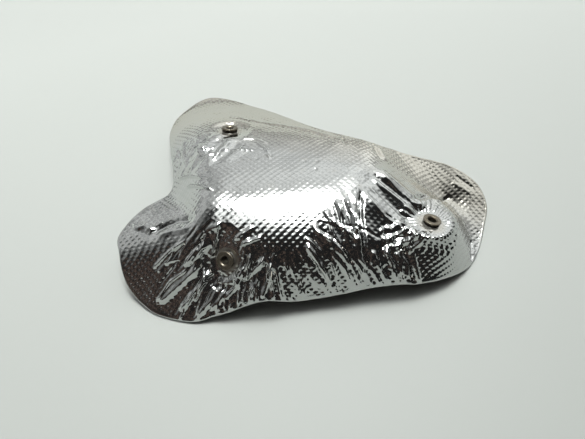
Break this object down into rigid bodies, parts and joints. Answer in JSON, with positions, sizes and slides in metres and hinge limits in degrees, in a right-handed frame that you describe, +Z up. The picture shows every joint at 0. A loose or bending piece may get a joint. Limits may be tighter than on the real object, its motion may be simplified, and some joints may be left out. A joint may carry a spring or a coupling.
{
  "type": "exhaust manifold heat shield",
  "caption": "Pressed and dimpled three-layer heat shield shell with a folded rim, an ear, a lobe and a raised boss, held by three spring-mesh decoupler bushes.",
  "frame": {"origin": "centre of the shield's bounding box in plan, at the height of the bench it rests on", "axes": "+X along the long side from the lobe to the boss, +Y from the front wall to the ear, +Z up, away from the manifold, with the hollow side down"},
  "size_m": [0.329, 0.26, 0.0692],
  "materials": {
    "outer_skin": "bright rolled foil, dimple embossed",
    "rim": "bright folded edge",
    "mat": "fibre mat",
    "inner_skin": "dull, dimple embossed",
    "sleeve": "yellow passivated zinc, worn",
    "washer": "yellow passivated zinc",
    "wire_mesh": "knitted stainless wire",
    "eyelet": "satin"
  },
  "bodies": {
    "shell": {"outer_skin": "outer_skin", "insulation_mat": "mat", "inner_skin": "inner_skin", "rim_hem": "rim", "upper_mesh_front": "wire_mesh", "upper_mesh_back": "wire_mesh", "upper_mesh_nose": "wire_mesh", "lower_mesh_front": "wire_mesh", "lower_mesh_back": "wire_mesh", "lower_mesh_nose": "wire_mesh", "eyelet_front": "eyelet", "eyelet_back": "eyelet", "eyelet_nose": "eyelet"},
    "decoupler_front": {"sleeve_front": "sleeve", "washer_front": "washer"},
    "decoupler_back": {"sleeve_back": "sleeve", "washer_back": "washer"},
    "decoupler_nose": {"sleeve_nose": "sleeve", "washer_nose": "washer"}
  },
  "joints": [
    {"name": "decoupler_front_turn", "type": "hinge", "parent": "shell", "child": "decoupler_front", "pos_m": [-0.0685, -0.0935, 0.042], "axis": [-0.3938, -0.6302, 0.6691], "continuous": true},
    {"name": "decoupler_back_turn", "type": "hinge", "parent": "shell", "child": "decoupler_back", "pos_m": [-0.075, 0.0385, 0.046], "axis": [0.0436, 0.4981, 0.866], "continuous": true},
    {"name": "decoupler_nose_turn", "type": "hinge", "parent": "shell", "child": "decoupler_nose", "pos_m": [0.096, -0.062, 0.046], "axis": [0.1627, 0.3193, 0.9336], "continuous": true}
  ]
}
